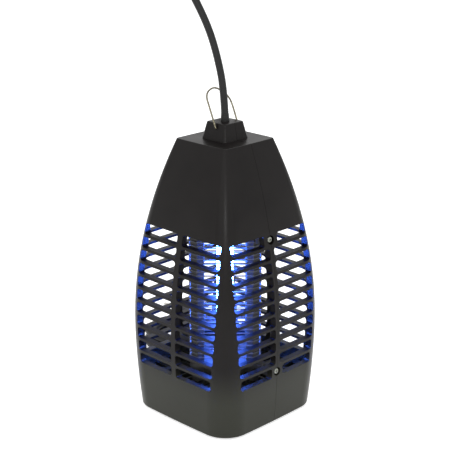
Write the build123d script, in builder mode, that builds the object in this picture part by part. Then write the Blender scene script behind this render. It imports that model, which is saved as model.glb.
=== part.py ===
from build123d import *
import math
import os

# Hanging electric insect killer: a square, bulging slotted housing made of two
# half shells, with a lit ultraviolet tube inside a high-voltage wire cage, a
# twist-off catch tray underneath, a wire hanging bail and a round mains lead.
#
# Frame, in millimetres: the origin is the centre of the base, on the surface
# that the feet stand on, and +Z is up. The four faces look along +X, -X, +Y
# and -Y. The housing parts at y = 0, so -Y is the front shell.

os.makedirs("parts", exist_ok=True)

# ---------------------------------------------------------------- housing sizes
plate_height = 260.0        # top plate above the surface
shell_foot = 1.5            # lower edge of the shells above the surface
belly_height = 78.0         # where the housing is widest
belly_half_width = 67.2
taper_above = 940.0         # how slowly the side profile falls away, mm^2 per mm
taper_below = 1700.0
base_corner_radius = 25.0
corner_loss = 22.2          # how much sharper the corners are at the plate
face_bulge = 1.6            # how far the middle of each face stands out in plan
wall = 2.4
grille_depth = 6.0          # depth of the slotted panels' bars
shell_gap = 0.24            # parting line between the two shells
edge_round = 1.0

# Slots, 11 rows in two columns on every face
row_count = 11
row_pitch = 12.4
first_row_height = 176.7
slot_height = 9.9
slot_corner = 2.6
rib_half_width = 2.7
slot_reach_max = 51.5       # outer end of the longest slots
slot_reach_height = 122.0
slot_reach_fall = 950.0
screw_pad = {0: 8.5, row_count - 1: 6.8}   # half width of the pads by the screws

# Boss round the cord on the top plate
boss_height = 15.5
boss_base_half = 15.5
boss_top_half = 12.0
boss_corner = 3.2
boss_round = 1.2
gland_hole_radius = 4.05

# Corner pillars that carry the floor grille and take the base screws
pillar_at = 51.5
pillar_radius = 5.5
pillar_top = 32.0
base_plate_low = 2.0
base_plate_high = 5.0

# Screws
screw_radius = 1.5
screw_fit = 0.02
screw_head_radius = 2.7
screw_head_height = 1.8
recess_radius = 4.1
recess_depth = 2.6

row_heights = [first_row_height - row * row_pitch for row in range(row_count)]
seam_screw_heights = (row_heights[0], row_heights[-1])


def half_width(z):
    """Half the distance between the middles of two opposite faces at height z."""
    taper = taper_above if z > belly_height else taper_below
    return belly_half_width - (z - belly_height) ** 2 / taper


def section(z, inset=0.0):
    """The housing's outline at height z, moved in by inset: four bulged sides."""
    middle = half_width(z) - inset
    corner = middle - face_bulge * middle / belly_half_width
    radius = base_corner_radius - corner_loss * (z / plate_height) ** 2 - inset
    with BuildSketch(Plane.XY.offset(z)) as outline:
        with BuildLine():
            ThreePointArc((-corner, -corner), (0, -middle), (corner, -corner))
            ThreePointArc((corner, -corner), (middle, 0), (corner, corner))
            ThreePointArc((corner, corner), (0, middle), (-corner, corner))
            ThreePointArc((-corner, corner), (-middle, 0), (-corner, -corner))
        make_face()
        fillet(outline.vertices(), max(radius, 0.8))
    return outline.sketch


def slot_reach(z):
    """How far from the middle of a face the slots at height z end."""
    return slot_reach_max - (z - slot_reach_height) ** 2 / slot_reach_fall


# ---------------------------------------------------------------- housing shells
outer_levels = (shell_foot, 40, 80, 120, 160, 200, 232, plate_height)
inner_levels = (shell_foot - 1, 40, 80, 120, 160, 200, 232, plate_height - wall)

with BuildPart() as outer_form:
    loft([section(z) for z in outer_levels])
    plate_edges = outer_form.edges().group_by(Axis.Z)[-1]
    fillet(plate_edges, edge_round * 0.8)
    foot_edges = outer_form.edges().group_by(Axis.Z)[0]
    fillet(foot_edges, edge_round)

with BuildPart() as cavity:
    loft([section(z, wall) for z in inner_levels])
    # The grille panels stay as thick as their bars, so the cavity steps in there
    panel_low = row_heights[-1] - slot_height / 2 - 2
    panel_high = row_heights[0] + slot_height / 2 + 2
    panel_middle = (panel_low + panel_high) / 2
    with PolarLocations(belly_half_width, 4):
        with Locations((0, 0, panel_middle)):
            Box(50, 2 * slot_reach_max + 5, panel_high - panel_low, mode=Mode.SUBTRACT)
    loft([section(z, grille_depth) for z in inner_levels])

with BuildPart() as boss:
    with BuildSketch(Plane.XY.offset(plate_height - 1)):
        RectangleRounded(2 * boss_base_half, 2 * boss_base_half, boss_corner)
    with BuildSketch(Plane.XY.offset(plate_height + boss_height)):
        RectangleRounded(2 * boss_top_half, 2 * boss_top_half, boss_corner * 0.8)
    loft()
    fillet(boss.edges().group_by(Axis.Z)[-1], boss_round)

with BuildPart() as shell_form:
    add(outer_form.part)
    add(cavity.part, mode=Mode.SUBTRACT)
    add(boss.part)
    with Locations((0, 0, plate_height)):
        Cylinder(gland_hole_radius, 4 * boss_height, mode=Mode.SUBTRACT)
    for face_plane, has_screws in ((Plane.XZ, False), (Plane.YZ, True)):
        with BuildSketch(face_plane):
            for row, z in enumerate(row_heights):
                near = screw_pad.get(row, rib_half_width) if has_screws else rib_half_width
                far = slot_reach(z)
                middle = (near + far) / 2
                with Locations((middle, z), (-middle, z)):
                    RectangleRounded(far - near, slot_height, slot_corner)
        extrude(amount=belly_half_width + 5, both=True, mode=Mode.SUBTRACT)
    for z in seam_screw_heights:
        for side in (1, -1):
            recess_floor = half_width(z) - recess_depth
            with Locations(Location((side * (recess_floor + 10), 0, z), (0, 90, 0))):
                Cylinder(recess_radius, 20, mode=Mode.SUBTRACT)
            with Locations(Location((side * recess_floor, 0, z), (0, 90, 0))):
                Cylinder(screw_radius + 0.2, 20, mode=Mode.SUBTRACT)

# Blind pillars in the four corners, joined to the walls they stand against
with BuildPart() as pillars:
    with BuildSketch(Plane.XY.offset(base_plate_high)):
        with GridLocations(2 * pillar_at, 2 * pillar_at, 2, 2):
            Circle(pillar_radius)
    extrude(amount=pillar_top - base_plate_high)
    with BuildSketch(Plane.XY.offset(base_plate_high)):
        with GridLocations(2 * pillar_at, 2 * pillar_at, 2, 2):
            Circle(screw_radius + screw_fit)
    extrude(amount=14, mode=Mode.SUBTRACT)
    add(outer_form.part, mode=Mode.INTERSECT)

# The bail's feet turn in blind holes in the boss
bail_wire_radius = 0.8
bail_leg_at = 14.05         # the legs stand this far from the middle, along Y
bail_pivot_x = 2.5
bail_pivot_height = plate_height + 11.0
bail_foot_end = 8.6
bail_hole_radius = bail_wire_radius + 0.05

with BuildPart() as bail_holes:
    with Locations(Location((bail_pivot_x, 0, bail_pivot_height), (90, 0, 0))):
        Cylinder(bail_hole_radius, 4 * boss_base_half)
    with Locations((bail_pivot_x, 0, bail_pivot_height)):
        Box(8, 2 * bail_foot_end - 0.3, 8, mode=Mode.SUBTRACT)

# A block under the plate backs the cord clamp, on the rear shell alone
clamp_half_length = 12.0
clamp_low = 243.0
clamp_high = 252.0
clamp_face = 3.3
clamp_screw_x = 8.5
clamp_screw_z = (clamp_low + clamp_high) / 2
clamp_screw_radius = 1.25

with BuildPart() as front_shell:
    add(shell_form.part)
    add(pillars.part)
    add(bail_holes.part, mode=Mode.SUBTRACT)
    split(bisect_by=Plane.XZ.offset(shell_gap / 2), keep=Keep.TOP)
front_shell.part.label = "front_shell"
export_step(front_shell.part, "parts/front_shell.step")

with BuildPart() as rear_shell:
    add(shell_form.part)
    add(pillars.part)
    add(bail_holes.part, mode=Mode.SUBTRACT)
    block_height = plate_height - wall / 2 - clamp_low
    with Locations((0, clamp_face + 3, clamp_low + block_height / 2)):
        Box(2 * clamp_half_length, 6, block_height)
    with Locations((0, 0, plate_height)):
        Cylinder(gland_hole_radius, 4 * boss_height, mode=Mode.SUBTRACT)
    with BuildSketch(Plane.XY.offset(clamp_high - 0.5)):
        Circle(6.8)
    extrude(amount=plate_height - wall - clamp_high + 0.5, mode=Mode.SUBTRACT)
    with BuildSketch(Plane.XZ):
        with Locations((-clamp_screw_x, clamp_screw_z), (clamp_screw_x, clamp_screw_z)):
            Circle(clamp_screw_radius + screw_fit)
    extrude(amount=-8, mode=Mode.SUBTRACT)
    split(bisect_by=Plane.XZ.offset(-shell_gap / 2), keep=Keep.BOTTOM)
rear_shell.part.label = "rear_shell"
export_step(rear_shell.part, "parts/rear_shell.step")

# ---------------------------------------------------------------- hanging bail
# One steel wire: two feet in the boss, two legs up its sides and a crown whose
# far shoulder is lower. At rest it leans back, behind the cord.
bail_lean = 23.0
bail_points = [
    (-bail_foot_end, 0),
    (-bail_leg_at, 0),
    (-bail_leg_at - 0.4, 32.5),
    (-1.0, 37.3),
    (bail_leg_at - 1.2, 26.0),
    (bail_leg_at - 0.05, 16.5),
    (bail_leg_at, 0),
    (bail_foot_end, 0),
]
bail_bends = [1.0, 9.0, 11.0, 14.0, 40.0, 1.0]

lean = math.radians(bail_lean)
bail_plane = Plane(
    origin=(bail_pivot_x, 0, bail_pivot_height),
    x_dir=(0, 1, 0),
    z_dir=(math.cos(lean), 0, math.sin(lean)),
)
with BuildPart() as hanging_bail:
    with BuildLine(bail_plane) as bail_path:
        FilletPolyline(*bail_points, radius=bail_bends)
    with BuildSketch(Plane(bail_path.line @ 0, z_dir=bail_path.line % 0)):
        Circle(bail_wire_radius)
    sweep()
hanging_bail.part.label = "hanging_bail"
export_step(hanging_bail.part, "parts/hanging_bail.step")

# ---------------------------------------------------------------- mains lead
cord_radius = 3.25
gland_top = plate_height + 22.0
gland_top_radius = 3.55
gland_neck_radius = 3.95
gland_flange_radius = 6.4
gland_flange_low = plate_height - wall - 3.0
cord_inner_low = 238.0

with BuildPart() as cord_gland:
    with BuildSketch(Plane.XZ):
        with BuildLine():
            Polyline(
                (cord_radius, gland_flange_low),
                (gland_flange_radius, gland_flange_low),
                (gland_flange_radius, plate_height - wall - 0.1),
                (gland_neck_radius, plate_height - wall - 0.1),
                (gland_neck_radius, plate_height + boss_height),
                (gland_top_radius, gland_top),
                (cord_radius, gland_top),
                close=True,
            )
        make_face()
    revolve(axis=Axis.Z)
cord_gland.part.label = "cord_gland"
export_step(cord_gland.part, "parts/cord_gland.step")

with BuildPart() as cord_inner:
    with BuildSketch(Plane.XY.offset(cord_inner_low)):
        Circle(cord_radius - 0.02)
    extrude(amount=gland_top - 0.2 - cord_inner_low)
cord_inner.part.label = "cord_inner"
export_step(cord_inner.part, "parts/cord_inner.step")

# The free cord stands up out of the gland, leans over, turns back behind the
# object and comes down to the surface, where the rest of it is coiled.
coil_centre = (-131.0, 73.0)
coil_low = 0.6
coil_mid_radius = 38.0
turn_step = 2 * cord_radius + 0.1
coil_high = coil_low + 2 * turn_step
cord_route = [
    (0, 0, gland_top),
    (-1, -0.5, 304),
    (-5.5, -3, 330),
    (-13, -6.5, 357),
    (-26.5, -13, 386),
    (-36, -20.5, 410),
    (-54.5, -16.5, 427.5),
    (-75.5, -2, 432.5),
    (-91, 16.5, 423.5),
    (-95, 32.5, 403.5),
    (-85, 44.5, 373.5),
    (-75.5, 55.5, 344),
    (-70.5, 62.5, 315),
    (-68.5, 66.5, 287),
    (-68, 69, 254),
    (-68.5, 70, 210),
    (-69, 70.5, 160),
    (-69.5, 70, 113),
    (-70.2, 70.3, 80),
    (-69.9, 70, 56),
    (-70, 70, 34),
    (-73.9, 74.1, 20),
    (-81.4, 81.9, 9.5),
    (-91, 92, 4.0),
    (-100.6, 102, 3.9),
]

# The plug lies on the coil, pins away from the housing
plug_axis_y = 105.0
plug_back_x = -144.5
plug_height = coil_high + 6.8
relief_length = 12.0
plug_length = 26.0
plug_thickness = 13.4
plug_pin_length = 19.0
plug_pin_spacing = 18.6
pin_sleeve_length = 10.0
pin_radius = 2.0
pin_root = 8.0              # how deep the metal pins sit in the body

tail_route = [
    (-172.5, 65.8, 10.8),
    (-166.5, 50.4, 13.2),
    (-155.2, 38.6, 16.2),
    (-140.2, 31.9, 17.6),
    (-123.8, 31.5, 17.7),
    (-108.4, 37.5, 17.8),
    (-95.6, 49.5, 17.9),
    (-91.0, 60.5, 18.2),
    (-90.2, 72.4, 18.6),
    (-93.2, 84.0, 19.1),
    (-99.8, 93.9, 19.6),
    (-109.3, 101.2, 20.1),
    (-120.5, 105.0, 20.5),
    (plug_back_x + relief_length, plug_axis_y, plug_height),
]


def bend_radii(points):
    """The largest tidy arc at each inner point: 0.45 of the shorter run beside it."""
    radii = []
    for before, here, after in zip(points, points[1:], points[2:]):
        arriving = Vector(*here) - Vector(*before)
        leaving = Vector(*after) - Vector(*here)
        half_turn = math.radians(arriving.get_angle(leaving)) / 2
        shorter = min(arriving.length, leaving.length)
        radii.append(0.45 * shorter / math.tan(half_turn))
    return radii


def report_tube(name, part, path, radii):
    """Prints what a cord's tube measures beside what it should."""
    length = sum(edge.length for edge in path.edges())
    expected = math.pi * cord_radius**2 * length
    print(f"{name}: length {length:.0f}, volume {part.volume:.0f} of {expected:.0f}")
    print("  bend radii", " ".join(f"{radius:.0f}" for radius in radii))


cord_radii = bend_radii(cord_route)
with BuildPart() as power_cord:
    with BuildLine() as cord_path:
        FilletPolyline(*cord_route, radius=cord_radii)
    with BuildSketch(Plane(cord_path.line @ 0, z_dir=cord_path.line % 0)):
        Circle(cord_radius)
    sweep()
report_tube("power_cord", power_cord.part, cord_path, cord_radii)
power_cord.part.label = "power_cord"
export_step(power_cord.part, "parts/power_cord.step")

with BuildPart() as cord_coil:
    with BuildSketch(Plane((*coil_centre, 0), x_dir=(1, 0, 0), z_dir=(0, -1, 0))):
        with Locations((coil_mid_radius, (coil_low + coil_high) / 2)):
            RectangleRounded(2 * turn_step, coil_high - coil_low, cord_radius)
    revolve(axis=Axis((*coil_centre, 0), (0, 0, 1)))
cord_coil.part.label = "cord_coil"
export_step(cord_coil.part, "parts/cord_coil.step")

tail_radii = bend_radii(tail_route)
with BuildPart() as cord_tail:
    with BuildLine() as tail_path:
        FilletPolyline(*tail_route, radius=tail_radii)
    with BuildSketch(Plane(tail_path.line @ 0, z_dir=tail_path.line % 0)):
        Circle(cord_radius)
    sweep()
report_tube("cord_tail", cord_tail.part, tail_path, tail_radii)
cord_tail.part.label = "cord_tail"
export_step(cord_tail.part, "parts/cord_tail.step")


def plug_plane(along):
    """A plane across the plug's axis, this far along it from the body's back."""
    origin = (plug_back_x - along, plug_axis_y, plug_height)
    return Plane(origin, x_dir=(0, 1, 0), z_dir=(-1, 0, 0))


pin_spots = [(-plug_pin_spacing / 2, 0), (plug_pin_spacing / 2, 0)]
with BuildPart() as plug_body:
    for along, width, thickness in ((0, 13, 11), (10, 22, plug_thickness)):
        with BuildSketch(plug_plane(along)):
            RectangleRounded(width, thickness, 3.6)
    loft()
    with BuildSketch(plug_plane(10)):
        RectangleRounded(22, plug_thickness, 3.6)
    with BuildSketch(plug_plane(plug_length)):
        RectangleRounded(25.5, plug_thickness, 3.6)
    loft()
    with BuildSketch(plug_plane(-relief_length)):
        Circle(cord_radius + 0.9)
    with BuildSketch(plug_plane(0)):
        Circle(cord_radius + 2.0)
    loft()
    with BuildSketch(plug_plane(plug_length - 1)):
        with Locations(*pin_spots):
            Circle(pin_radius)
    extrude(amount=pin_sleeve_length + 1)
    for groove in (-9.6, -6.8, -4.0):
        with BuildSketch(plug_plane(groove)):
            Circle(cord_radius + 3)
            Circle(cord_radius + 0.6, mode=Mode.SUBTRACT)
        extrude(amount=1.2, mode=Mode.SUBTRACT)
    with BuildSketch(plug_plane(plug_length - pin_root)):
        with Locations(*pin_spots):
            Circle(pin_radius - 0.5)
    extrude(amount=pin_root + pin_sleeve_length + 0.1, mode=Mode.SUBTRACT)
plug_body.part.label = "plug_body"
export_step(plug_body.part, "parts/plug_body.step")

with BuildPart() as plug_pins:
    with BuildSketch(plug_plane(plug_length - pin_root)):
        with Locations(*pin_spots):
            Circle(pin_radius - 0.52)
    extrude(amount=pin_root + pin_sleeve_length)
    with BuildSketch(plug_plane(plug_length + pin_sleeve_length)):
        with Locations(*pin_spots):
            Circle(pin_radius)
    extrude(amount=plug_pin_length - pin_sleeve_length)
    fillet(plug_pins.edges().group_by(Axis.X)[0], 1.5)
plug_pins.part.label = "plug_pins"
export_step(plug_pins.part, "parts/plug_pins.step")

# A flat tie goes once round the coil's turns, away from the plug
tie_width = 7.0
tie_bearing = math.radians(172)
tie_out = Vector(math.cos(tie_bearing), math.sin(tie_bearing), 0)
tie_middle = Vector(*coil_centre, (coil_low + coil_high) / 2) + tie_out * coil_mid_radius
with BuildPart() as coil_tie:
    with BuildSketch(Plane(tie_middle, x_dir=tie_out, z_dir=tie_out.cross(Vector(0, 0, 1)))):
        inner_width = 2 * turn_step + 0.7
        inner_height = 2 * turn_step + 0.1
        RectangleRounded(inner_width + 1.6, inner_height + 1.0, cord_radius + 0.3)
        RectangleRounded(inner_width, inner_height, cord_radius - 0.2, mode=Mode.SUBTRACT)
    extrude(amount=tie_width / 2, both=True)
coil_tie.part.label = "coil_tie"
export_step(coil_tie.part, "parts/coil_tie.step")

# ---------------------------------------------------------------- cord clamp and screws


def cross_recess(size, depth):
    """The cross that a driver turns, sunk from z = 0 downwards."""
    down = (Align.CENTER, Align.CENTER, Align.MAX)
    return Box(size, size / 4, depth, align=down) + Box(size / 4, size, depth, align=down)


def pan_screw(head_radius, head_height, shaft_radius, shaft_length):
    """A cross-recessed screw along Z, its head standing on z = 0."""
    up = (Align.CENTER, Align.CENTER, Align.MIN)
    down = (Align.CENTER, Align.CENTER, Align.MAX)
    head = Cylinder(head_radius, head_height, align=up)
    head = fillet(head.edges().group_by(Axis.Z)[-1], head_height * 0.45)
    shaft = Cylinder(shaft_radius, shaft_length, align=down)
    recess = Pos(0, 0, head_height) * cross_recess(head_radius * 1.15, head_height * 0.6)
    return head + shaft - recess


small_screw_radius = clamp_screw_radius
small_head_radius = 2.3
small_head_height = 1.6
clamp_thickness = 5.0
clamp_front = -(clamp_face + clamp_thickness)

with BuildPart() as cord_clamp:
    with Locations((0, clamp_front + clamp_thickness / 2, clamp_screw_z)):
        Box(2 * clamp_half_length, clamp_thickness, clamp_high - clamp_low)
    fillet(cord_clamp.edges().filter_by(Axis.Y), 1.5)
    with BuildSketch(Plane.XZ):
        with Locations((-clamp_screw_x, clamp_screw_z), (clamp_screw_x, clamp_screw_z)):
            Circle(clamp_screw_radius + screw_fit)
    extrude(amount=clamp_face + clamp_thickness + 1, mode=Mode.SUBTRACT)
cord_clamp.part.label = "cord_clamp"
export_step(cord_clamp.part, "parts/cord_clamp.step")

clamp_screw = pan_screw(small_head_radius, small_head_height, clamp_screw_radius, 16)
with BuildPart() as clamp_screws:
    for side in (-1, 1):
        add(Location((side * clamp_screw_x, clamp_front, clamp_screw_z), (90, 0, 0)) * clamp_screw)
clamp_screws.part.label = "clamp_screws"
export_step(clamp_screws.part, "parts/clamp_screws.step")

shell_screw = pan_screw(screw_head_radius, screw_head_height, screw_radius, 10.5)
with BuildPart() as shell_screws:
    for z in seam_screw_heights:
        for side in (-1, 1):
            head_seat = half_width(z) - recess_depth
            add(Location((side * head_seat, 0, z), (0, side * 90, 0)) * shell_screw)
shell_screws.part.label = "shell_screws"
export_step(shell_screws.part, "parts/shell_screws.step")

# ---------------------------------------------------------------- inner frame
# Two plates hold the tube and four insulating posts that carry the wire cage.
top_plate_low = 186.0
top_plate_high = 190.0
bottom_plate_low = 50.0
bottom_plate_high = 54.0
top_plate_half = 49.0
bottom_plate_half_diagonal = 46.0
post_at = 36.0
post_width = 9.0
post_spots = [(post_at, 0), (0, post_at), (-post_at, 0), (0, -post_at)]
holder_radius = 12.0
holder_hole_radius = holder_radius + 0.05
lug_half_width = 5.0
lug_height = 11.0
upright = (Align.CENTER, Align.CENTER, Align.MIN)
standoff_spots = [(-26, -22), (26, -22), (-26, 22), (26, 22)]
board_low = 212.0
board_high = 213.6
feed_wire_radius = 0.8
lamp_feed_y = 30.6          # the lower holder's feed wire runs down beside a post
grid_feed = (42.0, 6.0)     # the cage's feed wires come down beside the lugs

with BuildPart() as top_frame:
    with BuildSketch(Plane.XY.offset(top_plate_low)):
        RectangleRounded(2 * top_plate_half, 2 * top_plate_half, 12)
        Circle(holder_hole_radius, mode=Mode.SUBTRACT)
        with Locations((0, lamp_feed_y), grid_feed, (-grid_feed[0], -grid_feed[1])):
            Circle(feed_wire_radius + 0.2, mode=Mode.SUBTRACT)
    extrude(amount=top_plate_high - top_plate_low)
    top_lug_low = seam_screw_heights[0] - lug_height / 2
    top_lug_depth = 6.5
    for side in (-1, 1):
        with Locations((side * (top_plate_half - top_lug_depth / 2), 0, top_lug_low)):
            Box(top_lug_depth, 2 * lug_half_width, top_plate_low - top_lug_low, align=upright)
    with BuildSketch(Plane.XY.offset(top_plate_high)):
        with Locations(*standoff_spots):
            Circle(3.0)
    extrude(amount=board_low - top_plate_high)
    with BuildSketch(Plane.XY.offset(board_low - 12)):
        with Locations(*standoff_spots):
            Circle(small_screw_radius + screw_fit)
    extrude(amount=12, mode=Mode.SUBTRACT)
    with BuildSketch(Plane.YZ):
        with Locations((0, seam_screw_heights[0])):
            Circle(screw_radius + screw_fit)
    extrude(amount=top_plate_half, both=True, mode=Mode.SUBTRACT)
top_frame.part.label = "top_frame"
export_step(top_frame.part, "parts/top_frame.step")

bottom_arm_end = 60.4
lug_hole_length = 14.0
leg_width = 8.0
grille_top = pillar_top + 3.0
with BuildPart() as bottom_frame:
    with BuildSketch(Plane.XY.offset(bottom_plate_low)):
        diamond_side = bottom_plate_half_diagonal * math.sqrt(2)
        RectangleRounded(diamond_side, diamond_side, 5, rotation=45)
        Rectangle(2 * bottom_arm_end, 2 * lug_half_width)
        Circle(holder_hole_radius, mode=Mode.SUBTRACT)
        with Locations((0, lamp_feed_y)):
            Circle(feed_wire_radius + 0.2, mode=Mode.SUBTRACT)
    extrude(amount=bottom_plate_high - bottom_plate_low)
    for side in (-1, 1):
        with Locations((side * (bottom_arm_end - 3.5), 0, seam_screw_heights[1])):
            Box(7, 2 * lug_half_width, lug_height)
    with BuildSketch(Plane.XY.offset(grille_top)):
        with Locations(*post_spots):
            Rectangle(leg_width, leg_width)
    extrude(amount=bottom_plate_low - grille_top)
    # The lug holes stop short of the cage
    for side in (-1, 1):
        lug_hole_at = side * (bottom_arm_end - lug_hole_length / 2 + 3)
        with Locations(Location((lug_hole_at, 0, seam_screw_heights[1]), (0, 90, 0))):
            Cylinder(screw_radius + screw_fit, lug_hole_length, mode=Mode.SUBTRACT)
bottom_frame.part.label = "bottom_frame"
export_step(bottom_frame.part, "parts/bottom_frame.step")

for number, (x, y) in enumerate(post_spots, start=1):
    with BuildPart() as grid_post:
        with BuildSketch(Plane.XY.offset(bottom_plate_high)):
            with Locations((x, y)):
                Rectangle(post_width, post_width)
        extrude(amount=top_plate_low - bottom_plate_high)
        chamfer(grid_post.edges().filter_by(Axis.Z), 0.6)
    grid_post.part.label = f"grid_post_{number}"
    export_step(grid_post.part, f"parts/grid_post_{number}.step")

# ---------------------------------------------------------------- wire cage
# Each wire is strung round the outside of the four posts. Alternate wires belong
# to the two sides of the supply.
wire_radius = 0.6
wire_flat = post_at + post_width / 2 + wire_radius + 0.1
wire_turn = post_width / 2 + 0.2
lowest_wire = 60.0
highest_wire = 180.0
wire_pitch = 4.0
wire_count = round((highest_wire - lowest_wire) / wire_pitch) + 1
wire_corners = []
for quarter_x, quarter_y in ((1, 0), (0, 1), (-1, 0), (0, -1)):
    for turn_side in (-1, 1):
        x = quarter_x * wire_flat - quarter_y * turn_side * wire_turn
        y = quarter_y * wire_flat + quarter_x * turn_side * wire_turn
        wire_corners.append((x, y))

with BuildPart() as cage_wire:
    with BuildLine() as wire_path:
        Polyline(*wire_corners, close=True)
    with BuildSketch(Plane((wire_flat, 0, 0), x_dir=(1, 0, 0), z_dir=(0, 1, 0))):
        Circle(wire_radius)
    sweep(path=wire_path.wires()[0], transition=Transition.RIGHT)

with BuildPart() as grid_wires_live:
    for number in range(0, wire_count, 2):
        add(Pos(0, 0, lowest_wire + number * wire_pitch) * cage_wire.part)
grid_wires_live.part.label = "grid_wires_live"
export_step(grid_wires_live.part, "parts/grid_wires_live.step")

with BuildPart() as grid_wires_neutral:
    for number in range(1, wire_count, 2):
        add(Pos(0, 0, lowest_wire + number * wire_pitch) * cage_wire.part)
grid_wires_neutral.part.label = "grid_wires_neutral"
export_step(grid_wires_neutral.part, "parts/grid_wires_neutral.step")

# ---------------------------------------------------------------- ultraviolet tube
tube_radius = 7.9
tube_wall = 0.8
tube_low = 55.0
tube_high = 187.0
cap_low = 53.0
cap_high = 189.0
cap_length = 11.0
cap_radius = 8.15
tube_pin_radius = 1.19
tube_pin_spacing = 4.75
tube_pin_length = 7.0
tube_pin_root = 1.5
tube_pin_spots = [(-tube_pin_spacing / 2, 0), (tube_pin_spacing / 2, 0)]

with BuildPart() as uv_tube:
    with BuildSketch(Plane.XY.offset(tube_low)):
        Circle(tube_radius)
        Circle(tube_radius - tube_wall, mode=Mode.SUBTRACT)
    extrude(amount=tube_high - tube_low)
uv_tube.part.label = "uv_tube"
export_step(uv_tube.part, "parts/uv_tube.step")

for name, cap_end, glass_end, inward in (
    ("tube_cap_bottom", cap_low, tube_low, 1),
    ("tube_cap_top", cap_high, tube_high, -1),
):
    with BuildPart() as tube_cap:
        with BuildSketch(Plane.XY.offset(cap_end)):
            Circle(cap_radius)
        extrude(amount=inward * cap_length)
        with BuildSketch(Plane.XY.offset(glass_end)):
            Circle(tube_radius + 0.03)
        extrude(amount=inward * cap_length, mode=Mode.SUBTRACT)
        with BuildSketch(Plane.XY.offset(cap_end)):
            with Locations(*tube_pin_spots):
                Circle(tube_pin_radius + 0.02)
        extrude(amount=inward * tube_pin_root, mode=Mode.SUBTRACT)
    tube_cap.part.label = name
    export_step(tube_cap.part, f"parts/{name}.step")

with BuildPart() as tube_pins:
    for cap_end, outward in ((cap_low, -1), (cap_high, 1)):
        with BuildSketch(Plane.XY.offset(cap_end - outward * tube_pin_root)):
            with Locations(*tube_pin_spots):
                Circle(tube_pin_radius)
        extrude(amount=outward * (tube_pin_root + tube_pin_length))
tube_pins.part.label = "tube_pins"
export_step(tube_pins.part, "parts/tube_pins.step")

# Holders: a cup through each plate, with a flange against the plate's outer
# face. The rotor inside it turns with the tube to lock the pins.
rotor_radius = 7.55
rotor_bore_radius = rotor_radius + 0.05
rotor_length = 8.4
holder_gap = 0.3
holder_length = 16.7
flange_radius = 15.0
flange_thickness = 3.0
for end, cap_end, flange_face, outward in (
    ("bottom", cap_low, bottom_plate_low, -1),
    ("top", cap_high, top_plate_high, 1),
):
    mouth = cap_end + outward * holder_gap
    with BuildPart() as lamp_holder:
        with BuildSketch(Plane.XY.offset(mouth)):
            Circle(holder_radius)
        extrude(amount=outward * holder_length)
        with BuildSketch(Plane.XY.offset(flange_face)):
            Circle(flange_radius)
        extrude(amount=outward * flange_thickness)
        with BuildSketch(Plane.XY.offset(mouth)):
            Circle(rotor_bore_radius)
        extrude(amount=outward * (rotor_length + holder_gap), mode=Mode.SUBTRACT)
    lamp_holder.part.label = f"lamp_holder_{end}"
    export_step(lamp_holder.part, f"parts/lamp_holder_{end}.step")
    with BuildPart() as holder_rotor:
        with BuildSketch(Plane.XY.offset(mouth)):
            Circle(rotor_radius)
            with Locations(*tube_pin_spots):
                Circle(tube_pin_radius + 0.05, mode=Mode.SUBTRACT)
        extrude(amount=outward * rotor_length)
    holder_rotor.part.label = f"holder_rotor_{end}"
    export_step(holder_rotor.part, f"parts/holder_rotor_{end}.step")

# ---------------------------------------------------------------- circuit board
board_size = (62.0, 54.0)
with BuildPart() as circuit_board:
    with BuildSketch(Plane.XY.offset(board_low)):
        RectangleRounded(*board_size, 2)
        with Locations(*standoff_spots):
            Circle(small_screw_radius + 0.15, mode=Mode.SUBTRACT)
    extrude(amount=board_high - board_low)
circuit_board.part.label = "circuit_board"
export_step(circuit_board.part, "parts/circuit_board.step")

board_screw = pan_screw(small_head_radius, small_head_height, small_screw_radius, 9)
with BuildPart() as board_screws:
    for x, y in standoff_spots:
        add(Pos(x, y, board_high) * board_screw)
board_screws.part.label = "board_screws"
export_step(board_screws.part, "parts/board_screws.step")

# Choke: a coil former between two cheeks, with the iron core round it
choke_spot = (-17.0, -8.0)
choke_height = 16.0
with BuildPart(Plane((*choke_spot, board_high))) as choke:
    Box(24, 8, choke_height, align=upright)
    with Locations((0, 0, 3)):
        Box(15, 20, choke_height - 6, align=upright)
    for cheek in (-1, 1):
        with Locations((cheek * 7.5, 0, 1.5)):
            Box(1, 20, choke_height - 3, align=upright)
choke.part.label = "choke"
export_step(choke.part, "parts/choke.step")

with BuildPart() as capacitors:
    for x in (-20, -10, 0, 10):
        with Locations((x, 15, board_high)):
            Cylinder(4, 12, align=upright)
    fillet(capacitors.edges().group_by(Axis.Z)[-1], 0.5)
capacitors.part.label = "capacitors"
export_step(capacitors.part, "parts/capacitors.step")

with BuildPart() as diodes:
    for y in (-5, -1, 3, 7):
        with Locations(Location((3, y, board_high + 1.5), (0, 90, 0))):
            Cylinder(1.4, 6)
            Cylinder(0.35, 11)
diodes.part.label = "diodes"
export_step(diodes.part, "parts/diodes.step")

with BuildPart() as fuse:
    with Locations(Location((17, 0, board_high + 3.2), (90, 0, 0))):
        Cylinder(2.6, 20)
    for y in (-7.5, 7.5):
        with Locations((17, y, board_high)):
            Box(6.4, 3, 4, align=upright)
fuse.part.label = "fuse"
export_step(fuse.part, "parts/fuse.step")

terminal_spot = (15.0, -18.0)
terminal_height = 10.0
terminal_ways = [(-4.0, 0), (4.0, 0)]
with BuildPart(Plane((*terminal_spot, board_high))) as terminal_block:
    Box(16, 9, terminal_height, align=upright)
    with Locations(*[(x, y, terminal_height) for x, y in terminal_ways]):
        Cylinder(1.15, 12, mode=Mode.SUBTRACT)
    for x, _ in terminal_ways:
        with Locations(Location((x, -4.5, 3.5), (90, 0, 0))):
            Cylinder(1.6, 4, mode=Mode.SUBTRACT)
terminal_block.part.label = "terminal_block"
export_step(terminal_block.part, "parts/terminal_block.step")

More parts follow.
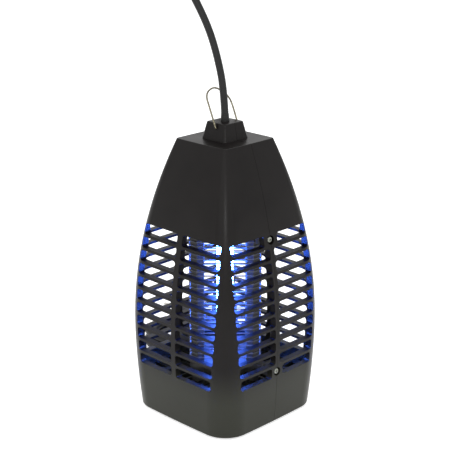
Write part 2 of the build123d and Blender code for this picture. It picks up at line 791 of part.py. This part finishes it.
# ---------------------------------------------------------------- inner leads
core_radius = 1.0
core_offset = 1.3
for name, side in (("lead_live", 1), ("lead_neutral", -1)):
    way = (terminal_spot[0] + side * terminal_ways[1][0], terminal_spot[1])
    with BuildPart() as lead:
        with BuildLine() as lead_path:
            FilletPolyline(
                (side * core_offset, 0, cord_inner_low),
                (side * core_offset, 0, cord_inner_low - 7),
                (way[0], way[1], board_high + terminal_height + 5),
                (way[0], way[1] + 0.01, board_high + terminal_height - 4),
                radius=2.5,
            )
        with BuildSketch(Plane(lead_path.line @ 0, z_dir=lead_path.line % 0)):
            Circle(core_radius)
        sweep()
    lead.part.label = name
    export_step(lead.part, f"parts/{name}.step")

# The lower holder's wire runs down beside the +Y post, and two short wires feed
# the upper holder. Two more feed the cage.
lower_holder_entry = 43.0
feed_routes = [
    [
        (0, lamp_feed_y, board_low),
        (0, lamp_feed_y, lower_holder_entry),
        (0, holder_radius, lower_holder_entry),
    ],
    [(5, 0, board_low), (5, 0, cap_high + holder_gap + holder_length)],
    [(-5, 0, board_low), (-5, 0, cap_high + holder_gap + holder_length)],
]
grid_feed_routes = []
for side, last_wire in ((1, highest_wire), (-1, highest_wire - wire_pitch)):
    route = [(28, 6, board_low), (28, 6, 201), (*grid_feed, 198), (*grid_feed, last_wire - 1)]
    grid_feed_routes.append([(side * x, side * y, z) for x, y, z in route])

for name, routes in (("lamp_leads", feed_routes), ("grid_leads", grid_feed_routes)):
    with BuildPart() as leads:
        for route in routes:
            with BuildLine() as lead_path:
                if len(route) == 2:
                    Line(*route)
                else:
                    FilletPolyline(*route, radius=2.5)
            with BuildSketch(Plane(lead_path.line @ 0, z_dir=lead_path.line % 0)):
                Circle(feed_wire_radius)
            sweep()
    leads.part.label = name
    export_step(leads.part, f"parts/{name}.step")

# ---------------------------------------------------------------- floor grille
grille_gap = 0.5
grille_window_half = 57.0
grille_window_corner = 26.0
grille_bar_pitch = 9.0
grille_bar_width = 2.2
grille_hub_radius = 22.0
with BuildPart() as floor_grille:
    extrude(section(pillar_top, wall + grille_gap), amount=grille_top - pillar_top)
    with BuildSketch(Plane.XY.offset(pillar_top)):
        RectangleRounded(
            2 * grille_window_half, 2 * grille_window_half, grille_window_corner
        )
        Circle(grille_hub_radius, mode=Mode.SUBTRACT)
        for number in range(-5, 6):
            offset_y = number * grille_bar_pitch
            inner_end = abs(offset_y)
            length = grille_window_half + 1 - inner_end
            middle = inner_end + length / 2
            with PolarLocations(0, 4):
                with Locations((middle, offset_y)):
                    Rectangle(length, grille_bar_width, mode=Mode.SUBTRACT)
        for bearing in (45, 135):
            diagonal = 2 * grille_window_half * math.sqrt(2)
            Rectangle(diagonal, grille_bar_width * 1.4, rotation=bearing, mode=Mode.SUBTRACT)
    extrude(amount=grille_top - pillar_top, mode=Mode.SUBTRACT)
floor_grille.part.label = "floor_grille"
export_step(floor_grille.part, "parts/floor_grille.step")

# ---------------------------------------------------------------- base ring and feet
base_gap = 0.25
opening_radius = 52.4
notch_radius = 55.8
notch_angle = 19.0
lug_angle = 16.0
lug_bearings = (90, 210, 330)
notch_offset = 30.0         # the tray turns this far to come off
base_hole_radius = screw_radius + 0.2
counterbore_radius = screw_head_radius + 0.2
counterbore_depth = screw_head_height + 0.1
foot_at = 44.0
foot_radius = 5.0
foot_stem_radius = 2.0
foot_stem_height = 2.5


def ring_sector(inner, outer, bearing, angle):
    """A sketch of part of a flat ring, on the XY plane, centred on a bearing."""
    with BuildSketch() as sector:
        Circle(outer)
        Circle(inner, mode=Mode.SUBTRACT)
        half = math.radians(angle / 2)
        reach = 2 * outer
        with BuildSketch(mode=Mode.INTERSECT):
            Polygon(
                (0, 0),
                (reach * math.cos(half), -reach * math.sin(half)),
                (reach * math.cos(half), reach * math.sin(half)),
                rotation=bearing,
                align=None,
            )
    return sector.sketch


with BuildPart() as base_ring:
    extrude(section(base_plate_low, wall + base_gap), amount=base_plate_high - base_plate_low)
    with BuildSketch(Plane.XY.offset(base_plate_low)):
        Circle(opening_radius)
        for bearing in lug_bearings:
            notch = ring_sector(opening_radius - 5, notch_radius, bearing + notch_offset, notch_angle)
            add(notch)
        with GridLocations(2 * pillar_at, 2 * pillar_at, 2, 2):
            Circle(base_hole_radius)
        with GridLocations(2 * foot_at, 2 * foot_at, 2, 2):
            Circle(foot_stem_radius + 0.02)
    extrude(amount=base_plate_high - base_plate_low, mode=Mode.SUBTRACT)
    with BuildSketch(Plane.XY.offset(base_plate_low)):
        with GridLocations(2 * pillar_at, 2 * pillar_at, 2, 2):
            Circle(counterbore_radius)
    extrude(amount=counterbore_depth, mode=Mode.SUBTRACT)
base_ring.part.label = "base_ring"
export_step(base_ring.part, "parts/base_ring.step")

base_screw = pan_screw(screw_head_radius, screw_head_height, screw_radius, 14)
with BuildPart() as base_screws:
    for x in (-pillar_at, pillar_at):
        for y in (-pillar_at, pillar_at):
            add(Location((x, y, base_plate_low + counterbore_depth), (180, 0, 0)) * base_screw)
base_screws.part.label = "base_screws"
export_step(base_screws.part, "parts/base_screws.step")

foot_spots = [(foot_at, -foot_at), (foot_at, foot_at), (-foot_at, foot_at), (-foot_at, -foot_at)]
for number, (x, y) in enumerate(foot_spots, start=1):
    with BuildPart(Plane((x, y, 0))) as foot:
        Cylinder(foot_radius, base_plate_low, align=upright)
        fillet(foot.edges().group_by(Axis.Z)[0], 0.6)
        Cylinder(foot_stem_radius, base_plate_low + foot_stem_height, align=upright)
    foot.part.label = f"foot_{number}"
    export_step(foot.part, f"parts/foot_{number}.step")

# ---------------------------------------------------------------- catch tray
tray_radius = 52.0
tray_low = 4.0
tray_high = 26.0
tray_wall = 1.8
tray_floor = 2.0
pocket_radius = 26.0        # the floor rises over a round finger pocket
pocket_ceiling = 12.0
grip_thickness = 4.0
grip_low = 3.0
tray_lug_radius = 55.4
tray_lug_low = base_plate_high + 0.3
tray_lug_height = 3.0
with BuildPart() as catch_tray:
    with BuildSketch(Plane.XZ):
        with BuildLine():
            Polyline(
                (pocket_radius, tray_low),
                (tray_radius, tray_low),
                (tray_radius, tray_high),
                (tray_radius - tray_wall, tray_high),
                (tray_radius - tray_wall, tray_low + tray_floor),
                (pocket_radius + tray_wall, tray_low + tray_floor),
                (pocket_radius + tray_wall, pocket_ceiling + tray_floor),
                (0, pocket_ceiling + tray_floor),
                (0, pocket_ceiling),
                (pocket_radius, pocket_ceiling),
                close=True,
            )
        make_face()
    revolve(axis=Axis.Z)
    with BuildSketch(Plane.XY.offset(grip_low)):
        Rectangle(2 * pocket_radius + tray_wall, grip_thickness)
    extrude(amount=pocket_ceiling + tray_floor / 2 - grip_low)
    with BuildSketch(Plane.XY.offset(tray_lug_low)):
        for bearing in lug_bearings:
            add(ring_sector(tray_radius - tray_wall / 2, tray_lug_radius, bearing, lug_angle))
    extrude(amount=tray_lug_height)
catch_tray.part.label = "catch_tray"
export_step(catch_tray.part, "parts/catch_tray.step")
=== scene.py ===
# %% [markdown]
# A hanging electric insect killer, dressed for a picture. The solid parts come
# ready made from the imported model: loading it is always the first step, because
# every new piece takes its place and its size from those parts.

# %% Load the frame
import math

import bpy
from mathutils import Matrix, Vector


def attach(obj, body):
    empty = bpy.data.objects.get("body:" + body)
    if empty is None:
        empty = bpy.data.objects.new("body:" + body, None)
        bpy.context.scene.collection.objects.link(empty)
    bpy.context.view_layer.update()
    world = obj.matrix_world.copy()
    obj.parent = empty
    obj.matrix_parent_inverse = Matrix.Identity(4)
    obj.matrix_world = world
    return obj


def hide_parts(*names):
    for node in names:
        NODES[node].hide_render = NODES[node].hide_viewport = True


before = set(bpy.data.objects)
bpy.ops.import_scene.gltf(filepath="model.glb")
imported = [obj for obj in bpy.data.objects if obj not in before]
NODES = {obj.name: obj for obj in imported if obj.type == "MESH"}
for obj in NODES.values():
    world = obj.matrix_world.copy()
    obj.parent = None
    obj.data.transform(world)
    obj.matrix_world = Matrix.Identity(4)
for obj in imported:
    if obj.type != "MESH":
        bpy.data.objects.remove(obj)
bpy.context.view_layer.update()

# %% [markdown]
# The camera stands a little above the object and looks down at one of its
# corners, so that two faces show equally. A long lens from about a metre keeps
# the sides nearly parallel. The lens is written as a focal length on a sensor
# 36 mm wide, which is Blender's default sensor.

# %% Camera
camera_bearing = math.radians(44.55)    # from -Y towards +X
camera_distance = 1.027
camera_height = 0.508
camera_pitch = math.radians(17.82)      # below the horizon
camera_lens = 94.1

bpy.ops.object.camera_add(
    location=(
        camera_distance * math.sin(camera_bearing),
        -camera_distance * math.cos(camera_bearing),
        camera_height,
    ),
    rotation=(math.radians(90) - camera_pitch, 0, camera_bearing),
)
camera = bpy.context.object
camera.name = "view_camera"
camera.data.lens = camera_lens
bpy.context.scene.camera = camera
print("camera at", [round(value, 3) for value in camera.location])

# %% [markdown]
# The mains lead is one length of flexible cable. It springs up out of the boss,
# bends over and comes down behind the housing to a storage coil. A NURBS curve
# suits it, because such a line never kinks: its control points pull the curve
# towards them, and a bevel gives it its round section.

# %% Lead: the points of the free stretch and of the tail
cord_diameter = 0.0065
cord_route = [
    (0, 0, 0.282),
    (-0.001, -0.0005, 0.304),
    (-0.0055, -0.003, 0.330),
    (-0.013, -0.0065, 0.357),
    (-0.0265, -0.013, 0.386),
    (-0.036, -0.0205, 0.410),
    (-0.0545, -0.0165, 0.4275),
    (-0.0755, -0.002, 0.4325),
    (-0.091, 0.0165, 0.4235),
    (-0.095, 0.0325, 0.4035),
    (-0.085, 0.0445, 0.3735),
    (-0.0755, 0.0555, 0.344),
    (-0.0705, 0.0625, 0.315),
    (-0.0685, 0.0665, 0.287),
    (-0.068, 0.069, 0.254),
    (-0.0685, 0.070, 0.210),
    (-0.069, 0.0705, 0.160),
    (-0.0695, 0.070, 0.113),
    (-0.0702, 0.0703, 0.080),
    (-0.0699, 0.070, 0.056),
    (-0.070, 0.070, 0.034),
    (-0.0739, 0.0741, 0.020),
    (-0.0814, 0.0819, 0.0095),
    (-0.091, 0.092, 0.004),
    (-0.1006, 0.102, 0.0039),
]

# The tail leaves the coil's upper layer, crosses over it and ends at the plug
tail_route = [
    (-0.1725, 0.0658, 0.0108),
    (-0.1665, 0.0504, 0.0132),
    (-0.1552, 0.0386, 0.0162),
    (-0.1402, 0.0319, 0.0176),
    (-0.1238, 0.0315, 0.0177),
    (-0.1084, 0.0375, 0.0178),
    (-0.0956, 0.0495, 0.0179),
    (-0.091, 0.0605, 0.0182),
    (-0.0902, 0.0724, 0.0186),
    (-0.0932, 0.084, 0.0191),
    (-0.0998, 0.0939, 0.0196),
    (-0.1093, 0.1012, 0.0201),
    (-0.1205, 0.105, 0.0205),
    (-0.1325, 0.105, 0.0206),
]

# %% [markdown]
# The coil has two layers with two turns in each. Going round, the lead steps
# inwards, then up, then outwards again, each time where the neighbouring turn
# leaves room. The steps are eased, so the lead never bends sharply.

# %% Lead: the turns of the coil
coil_centre = (-0.131, 0.073)
turn_step = 0.0066
outer_turn = 0.0418
lower_layer = 0.0039
first_bearing = 54.9
bearing_step = 22.5
coil_point_count = 54
step_inwards = (343, 403)       # the bearings between which each step is made
step_upwards = (640, 700)
step_outwards = (945, 1000)


def eased(bearing, span):
    """0 before the span of bearings, 1 after it, and a smooth step within it."""
    start, end = span
    part = min(max((bearing - start) / (end - start), 0.0), 1.0)
    return part * part * (3 - 2 * part)


def coil_point(bearing):
    """The control point of the coil at this bearing, in degrees from the first turn on."""
    radius = outer_turn - turn_step * eased(bearing, step_inwards)
    radius += turn_step * eased(bearing, step_outwards)
    height = lower_layer + turn_step * eased(bearing, step_upwards)
    angle = math.radians(bearing)
    x = coil_centre[0] + radius * math.cos(angle)
    y = coil_centre[1] + radius * math.sin(angle)
    return (x, y, height)


coil_route = [
    coil_point(first_bearing + number * bearing_step) for number in range(coil_point_count)
]
print("coil points:", len(coil_route))

# %% [markdown]
# The thickness of a bevelled curve is its bevel depth times the radius of each
# point. Here the depth is one and each point holds the lead's real radius, so
# the size that Blender reports for the curve is its true size.

# %% Lead: one curve
cord_points = cord_route + coil_route + tail_route
cord_curve = bpy.data.curves.new("mains_lead", "CURVE")
cord_curve.dimensions = "3D"
cord_spline = cord_curve.splines.new("NURBS")
cord_spline.points.add(len(cord_points) - 1)
for point, place in zip(cord_spline.points, cord_points):
    point.co = (*place, 1.0)
    point.radius = cord_diameter / 2
cord_spline.order_u = 3
cord_spline.use_endpoint_u = True
cord_curve.resolution_u = 10
cord_curve.bevel_depth = 1.0
cord_curve.bevel_resolution = 6
cord_curve.use_fill_caps = True
mains_lead = bpy.data.objects.new("mains_lead", cord_curve)
bpy.context.scene.collection.objects.link(mains_lead)
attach(mains_lead, "housing")
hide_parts("power_cord", "cord_coil", "cord_tail")
print("lead: control points", len(cord_points))

# %% [markdown]
# A pale floor and a plain pale room. What the camera, a mirror or a glass sees
# of them is white, through the Light Path node, while the light that falls on
# the object stays at a plain level.

# %% Floor
floor_size = 6.0
bpy.ops.object.select_all(action="DESELECT")
bpy.ops.mesh.primitive_plane_add(size=floor_size, location=(0, 0, 0))
floor = bpy.context.object
floor.name = "floor"
print("floor across, metres:", floor_size)


# %% Helper: what camera, mirrors and glass see

def seen_rays(nodes, links):
    """A socket that is 1 for rays of the camera, of mirrors and of glass."""
    path = nodes.new("ShaderNodeLightPath")
    first = nodes.new("ShaderNodeMath")
    first.operation = "MAXIMUM"
    links.new(path.outputs["Is Camera Ray"], first.inputs[0])
    links.new(path.outputs["Is Glossy Ray"], first.inputs[1])
    second = nodes.new("ShaderNodeMath")
    second.operation = "MAXIMUM"
    links.new(first.outputs[0], second.inputs[0])
    links.new(path.outputs["Is Transmission Ray"], second.inputs[1])
    return second.outputs[0]


# %% World
room_level = 0.75       # how strongly the room lights the object
room_seen = 1.0         # how bright the room itself is seen
white = (1, 1, 1, 1)
world = bpy.data.worlds.new("pale_room")
bpy.context.scene.world = world
world.use_nodes = True
world_nodes = world.node_tree.nodes
world_links = world.node_tree.links
world_light = world_nodes["Background"]
world_light.inputs["Color"].default_value = white
world_light.inputs["Strength"].default_value = room_level
world_seen = world_nodes.new("ShaderNodeBackground")
world_seen.inputs["Color"].default_value = white
world_seen.inputs["Strength"].default_value = room_seen
world_mix = world_nodes.new("ShaderNodeMixShader")
world_links.new(seen_rays(world_nodes, world_links), world_mix.inputs[0])
world_links.new(world_light.outputs[0], world_mix.inputs[1])
world_links.new(world_seen.outputs[0], world_mix.inputs[2])
world_links.new(world_mix.outputs[0], world_nodes["World Output"].inputs["Surface"])

print("room level:", room_level)

# %% Floor finish
floor_shade = (0.85, 0.85, 0.85, 1)
floor_glow_level = 0.55
floor_material = bpy.data.materials.new("floor_white")
floor_material.use_nodes = True
floor_nodes = floor_material.node_tree.nodes
floor_links = floor_material.node_tree.links
floor_surface = floor_nodes["Principled BSDF"]
floor_surface.inputs["Base Color"].default_value = floor_shade
floor_surface.inputs["Roughness"].default_value = 0.8
floor_glow = floor_nodes.new("ShaderNodeEmission")
floor_glow.inputs["Color"].default_value = white
floor_level = floor_nodes.new("ShaderNodeMath")
floor_level.operation = "MULTIPLY"
floor_level.inputs[1].default_value = floor_glow_level
floor_links.new(seen_rays(floor_nodes, floor_links), floor_level.inputs[0])
floor_links.new(floor_level.outputs[0], floor_glow.inputs["Strength"])
floor_sum = floor_nodes.new("ShaderNodeAddShader")
floor_links.new(floor_surface.outputs[0], floor_sum.inputs[0])
floor_links.new(floor_glow.outputs[0], floor_sum.inputs[1])
floor_links.new(floor_sum.outputs[0], floor_nodes["Material Output"].inputs["Surface"])
floor.data.materials.append(floor_material)

# %% [markdown]
# Three large soft lamps light the faces and the top evenly. A fourth, smaller
# one stands in line with the nearest corner, so the rounded edge there carries
# one narrow line of light. Large lamps far away give soft shadows.

# %% Lamps
lamp_target = Vector((0, 0, 0.13))
for name, place, size, energy in (
    ("key_light", (0.1, -1.7, 1.4), 2.6, 13.0),
    ("fill_light", (1.75, 0.0, 1.2), 2.6, 9.0),
    ("top_light", (-0.3, 0.5, 1.9), 1.6, 10.0),
    ("edge_light", (1.16, -1.18, 0.72), 0.3, 4.0),
):
    bpy.ops.object.light_add(type="AREA", location=place)
    lamp = bpy.context.object
    lamp.name = name
    lamp.data.shape = "DISK"
    lamp.data.size = size
    lamp.data.energy = energy
    lamp.visible_camera = False
    aim = lamp_target - Vector(place)
    lamp.rotation_euler = aim.to_track_quat("-Z", "Y").to_euler()
    print(name, "at", place)

# %% [markdown]
# Most finishes here start from the same three ingredients: a slow noise that
# varies the colour and the gloss a little, a fine noise that gives the surface
# its grain through bump, and the plain values of the shader itself. One helper
# builds that, and each material then says only what is special about it.

# %% Helper for finishes
relief_depth = 0.0002       # metres, the most that the grain stands proud


def finish(name, low, high, roughness, grain=900.0, bump=0.15, metallic=0.0, blotch=35.0):
    """A new material: colour between low and high, roughness between two values."""
    material = bpy.data.materials.new(name)
    material.use_nodes = True
    nodes = material.node_tree.nodes
    links = material.node_tree.links
    surface = nodes["Principled BSDF"]
    place = nodes.new("ShaderNodeTexCoord")
    slow = nodes.new("ShaderNodeTexNoise")
    slow.inputs["Scale"].default_value = blotch
    slow.inputs["Detail"].default_value = 5.0
    links.new(place.outputs["Object"], slow.inputs["Vector"])
    tint = nodes.new("ShaderNodeValToRGB")
    tint.color_ramp.elements[0].position = 0.3
    tint.color_ramp.elements[0].color = (*low, 1)
    tint.color_ramp.elements[1].position = 0.7
    tint.color_ramp.elements[1].color = (*high, 1)
    links.new(slow.outputs["Fac"], tint.inputs["Fac"])
    links.new(tint.outputs["Color"], surface.inputs["Base Color"])
    gloss = nodes.new("ShaderNodeMapRange")
    gloss.inputs["From Min"].default_value = 0.3
    gloss.inputs["From Max"].default_value = 0.7
    gloss.inputs["To Min"].default_value = roughness[0]
    gloss.inputs["To Max"].default_value = roughness[1]
    links.new(slow.outputs["Fac"], gloss.inputs["Value"])
    links.new(gloss.outputs["Result"], surface.inputs["Roughness"])
    fine = nodes.new("ShaderNodeTexNoise")
    fine.name = "grain"
    fine.inputs["Scale"].default_value = grain
    fine.inputs["Detail"].default_value = 3.0
    links.new(place.outputs["Object"], fine.inputs["Vector"])
    relief = nodes.new("ShaderNodeBump")
    relief.name = "relief"
    relief.inputs["Strength"].default_value = bump
    relief.inputs["Distance"].default_value = relief_depth
    links.new(fine.outputs["Fac"], relief.inputs["Height"])
    links.new(relief.outputs["Normal"], surface.inputs["Normal"])
    surface.inputs["Metallic"].default_value = metallic
    return material


def dress(material, *names):
    """Puts a material on CAD nodes, through their own slots."""
    for name in names:
        for slot in NODES[name].material_slots:
            slot.material = material
    print(material.name, "on", ", ".join(names))


# %% [markdown]
# The housing is near-black moulded plastic with a faint grain. It has a satin
# sheen: grazing light turns its top and its lower band greyish.

# %% Housing plastic
housing_black = finish(
    "housing_black", (0.0045, 0.0035, 0.0033), (0.0065, 0.0052, 0.0048), (0.30, 0.38), bump=0.1
)
housing_nodes = housing_black.node_tree.nodes
housing_links = housing_black.node_tree.links
housing_surface = housing_nodes["Principled BSDF"]
housing_surface.inputs["Specular IOR Level"].default_value = 0.16
dress(housing_black, "front_shell", "rear_shell", "floor_grille", "base_ring", "cord_clamp")

# %% [markdown]
# The plastic is painted a little greyer low down. This is a painted bounce of light
# from the white floor below. The height comes from the Object coordinates: a Map
# Range turns it into a factor, and a Mix Color node lays the paler painted tone
# over the plain one.

# %% Housing plastic: the painted floor bounce on the lower band
# The lower band's paler tone is painted light: bounce from the white floor, not dust.
painted_bounce_low = 0.03
painted_bounce_high = 0.075
painted_bounce_colour = (0.030, 0.031, 0.024, 1)
colour_a = 6        # the Mix node's colour sockets, by number
colour_b = 7
colour_result = 2
painted_bounce_place = housing_nodes.new("ShaderNodeTexCoord")
painted_bounce_axes = housing_nodes.new("ShaderNodeSeparateXYZ")
housing_links.new(painted_bounce_place.outputs["Object"], painted_bounce_axes.inputs[0])
painted_bounce_height = housing_nodes.new("ShaderNodeMapRange")
painted_bounce_height.inputs["From Min"].default_value = painted_bounce_high
painted_bounce_height.inputs["From Max"].default_value = painted_bounce_low
painted_bounce_height.interpolation_type = "SMOOTHSTEP"
housing_links.new(painted_bounce_axes.outputs["Z"], painted_bounce_height.inputs["Value"])
painted_bounce_mix = housing_nodes.new("ShaderNodeMix")
painted_bounce_mix.data_type = "RGBA"
plain_tone = housing_surface.inputs["Base Color"].links[0].from_socket
housing_links.new(painted_bounce_height.outputs["Result"], painted_bounce_mix.inputs["Factor"])
housing_links.new(plain_tone, painted_bounce_mix.inputs[colour_a])
painted_bounce_mix.inputs[colour_b].default_value = painted_bounce_colour
housing_links.new(painted_bounce_mix.outputs[colour_result], housing_surface.inputs["Base Color"])
# Prints the heights between which the painted floor bounce fades in.
print("dust between heights", painted_bounce_low, "and", painted_bounce_high)

# %% [markdown]
# The lead's sheath and its gland are the same soft black compound, so they
# share one material with a low specular level. The plug, the tie, the tray and
# the feet are other blacks: each gets its own roughness, because on dark
# surfaces it is the gloss, and hardly the colour, that tells materials apart.

# %% Lead, gland, plug, tie, tray and feet
cord_black = finish("cord_black", (0.011, 0.011, 0.011), (0.017, 0.017, 0.017), (0.38, 0.5))
cord_black.node_tree.nodes["Principled BSDF"].inputs["Specular IOR Level"].default_value = 0.2
mains_lead.data.materials.append(cord_black)
dress(cord_black, "cord_gland", "cord_inner")
plug_black = finish("plug_black", (0.020, 0.020, 0.021), (0.032, 0.032, 0.033), (0.4, 0.52))
dress(plug_black, "plug_body")
tie_black = finish("tie_black", (0.015, 0.015, 0.016), (0.04, 0.04, 0.042), (0.8, 0.95), 1600, 0.6)
dress(tie_black, "coil_tie")
tray_black = finish("tray_black", (0.018, 0.018, 0.017), (0.028, 0.027, 0.025), (0.4, 0.5))
dress(tray_black, "catch_tray")
foot_rubber = finish("foot_rubber", (0.012, 0.012, 0.012), (0.03, 0.03, 0.03), (0.7, 0.9))
dress(foot_rubber, "foot_1", "foot_2", "foot_3", "foot_4")

# %% [markdown]
# The metals are drawn wire, plated screws and drawn aluminium. All are fully
# metallic, so their colour is the colour of their reflection, and a range of
# roughness keeps them from looking like chrome.

# %% Metals
bail_steel = finish("bail_steel", (0.1, 0.09, 0.06), (0.24, 0.22, 0.16), (0.2, 0.32), metallic=1.0)
dress(bail_steel, "hanging_bail")
screw_steel = finish("screw_steel", (0.2, 0.21, 0.18), (0.34, 0.35, 0.31), (0.3, 0.45), metallic=1.0)
dress(screw_steel, "shell_screws", "base_screws", "clamp_screws", "board_screws")
pin_nickel = finish("pin_nickel", (0.62, 0.61, 0.57), (0.74, 0.72, 0.68), (0.15, 0.28), metallic=1.0)
dress(pin_nickel, "plug_pins", "tube_pins")
cage_steel = finish("cage_steel", (0.12, 0.13, 0.15), (0.2, 0.21, 0.24), (0.35, 0.5), metallic=1.0)
dress(cage_steel, "grid_wires_live", "grid_wires_neutral")
cap_aluminium = finish(
    "cap_aluminium", (0.68, 0.68, 0.68), (0.8, 0.8, 0.8), (0.25, 0.4), metallic=1.0
)
dress(cap_aluminium, "tube_cap_bottom", "tube_cap_top")

# %% [markdown]
# The lit tube is glass coated inside with a phosphor. It is an emitting
# surface with a deep blue colour and a high strength. Seen directly it is so
# bright that it looks white, while the frame, the wires and the inner faces of
# the housing, which it lights, show the blue.

# %% Lit tube
tube_glow = finish("tube_glow", (0.6, 0.7, 1.0), (0.75, 0.82, 1.0), (0.1, 0.2), 60, 0.02)
tube_surface = tube_glow.node_tree.nodes["Principled BSDF"]
tube_surface.inputs["Emission Color"].default_value = (0.045, 0.15, 1.0, 1)
tube_surface.inputs["Emission Strength"].default_value = 120.0
dress(tube_glow, "uv_tube")

# %% [markdown]
# The posts and plates that carry the cage are dark moulded insulator, and the
# lamp holders are white heat-proof plastic. The parts on the board each have
# the colour by which such a part is known: tan laminate, blue sleeves, brown
# and blue leads. The fuse is glass, so it lets part of the light through.

# %% Insulators, holders and the board
insulator_grey = finish(
    "insulator_grey", (0.04, 0.04, 0.04), (0.06, 0.06, 0.058), (0.45, 0.6), bump=0.2
)
dress(
    insulator_grey, "top_frame", "bottom_frame",
    "grid_post_1", "grid_post_2", "grid_post_3", "grid_post_4",
)
holder_white = finish("holder_white", (0.7, 0.69, 0.65), (0.8, 0.79, 0.75), (0.35, 0.5))
dress(
    holder_white, "lamp_holder_bottom", "lamp_holder_top",
    "holder_rotor_bottom", "holder_rotor_top",
)
board_laminate = finish("board_laminate", (0.36, 0.25, 0.1), (0.45, 0.33, 0.15), (0.4, 0.6))
dress(board_laminate, "circuit_board")
choke_steel = finish("choke_steel", (0.12, 0.1, 0.09), (0.25, 0.22, 0.2), (0.4, 0.6), 300, 0.4)
dress(choke_steel, "choke")
capacitor_sleeve = finish("capacitor_sleeve", (0.02, 0.04, 0.12), (0.03, 0.06, 0.16), (0.2, 0.3))
dress(capacitor_sleeve, "capacitors")
diode_black = finish("diode_black", (0.01, 0.01, 0.01), (0.03, 0.03, 0.03), (0.3, 0.4))
dress(diode_black, "diodes")
terminal_white = finish("terminal_white", (0.72, 0.71, 0.66), (0.82, 0.81, 0.77), (0.4, 0.5))
dress(terminal_white, "terminal_block")
fuse_glass = finish("fuse_glass", (0.6, 0.64, 0.6), (0.75, 0.78, 0.75), (0.05, 0.12), 60, 0.02)
fuse_glass.node_tree.nodes["Principled BSDF"].inputs["Transmission Weight"].default_value = 0.6
dress(fuse_glass, "fuse")
lead_brown = finish("lead_brown", (0.12, 0.05, 0.02), (0.18, 0.08, 0.03), (0.3, 0.4))
dress(lead_brown, "lead_live")
lead_blue = finish("lead_blue", (0.02, 0.06, 0.3), (0.03, 0.09, 0.4), (0.3, 0.4))
dress(lead_blue, "lead_neutral")
lead_white = finish("lead_white", (0.6, 0.6, 0.58), (0.75, 0.75, 0.72), (0.3, 0.4))
dress(lead_white, "lamp_leads", "grid_leads")

# %% [markdown]
# The picture's colours are set to come out as written.

# %% Finish
bpy.context.scene.view_settings.view_transform = "Standard"
